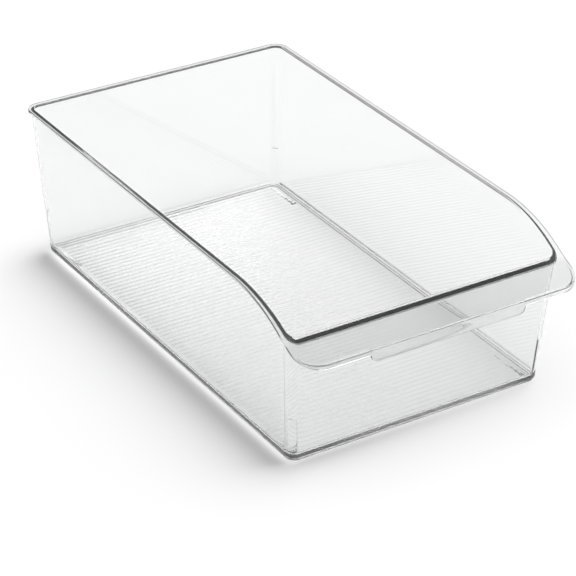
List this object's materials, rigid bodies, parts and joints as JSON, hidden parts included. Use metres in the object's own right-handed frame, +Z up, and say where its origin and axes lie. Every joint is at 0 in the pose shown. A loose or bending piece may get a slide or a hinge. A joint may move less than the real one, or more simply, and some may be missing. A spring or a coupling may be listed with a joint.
{
  "type": "refrigerator storage bin",
  "caption": "Clear tapered open-top storage bin with a flanged rim, side walls that drop at the front, a coved pull lip with finger tab and a ribbed floor.",
  "frame": {"origin": "centre of the overall footprint, on the surface that the bin stands on", "axes": "+Z up out of the open top, -Y towards the pull lip at the front, +X to the right seen from the front"},
  "size_m": [0.1896, 0.3312, 0.1],
  "materials": {
    "clear_plastic": "clear, glossy, lightly ribbed inside on the floor"
  },
  "bodies": {
    "root": {"back_left_corner": "clear_plastic", "back_right_corner": "clear_plastic", "back_wall": "clear_plastic", "corner_post_back_left": "clear_plastic", "corner_post_back_right": "clear_plastic", "corner_post_front_left": "clear_plastic", "corner_post_front_right": "clear_plastic", "finger_tab": "clear_plastic", "floor_panel": "clear_plastic", "floor_ribs": "clear_plastic", "foot_bar_back_left": "clear_plastic", "foot_bar_back_right": "clear_plastic", "foot_bar_front_left": "clear_plastic", "foot_bar_front_right": "clear_plastic", "foot_corner_back_left": "clear_plastic", "foot_corner_back_right": "clear_plastic", "foot_corner_front_left": "clear_plastic", "foot_corner_front_right": "clear_plastic", "foot_rail_back": "clear_plastic", "foot_rail_front": "clear_plastic", "foot_rail_left": "clear_plastic", "foot_rail_right": "clear_plastic", "front_left_corner": "clear_plastic", "front_right_corner": "clear_plastic", "front_wall": "clear_plastic", "left_wall": "clear_plastic", "lip_edge_front": "clear_plastic", "lip_edge_left": "clear_plastic", "lip_edge_right": "clear_plastic", "pull_lip": "clear_plastic", "right_wall": "clear_plastic", "rim_back": "clear_plastic", "rim_left": "clear_plastic", "rim_right": "clear_plastic", "shoulder_left": "clear_plastic", "shoulder_right": "clear_plastic"}
  },
  "joints": []
}
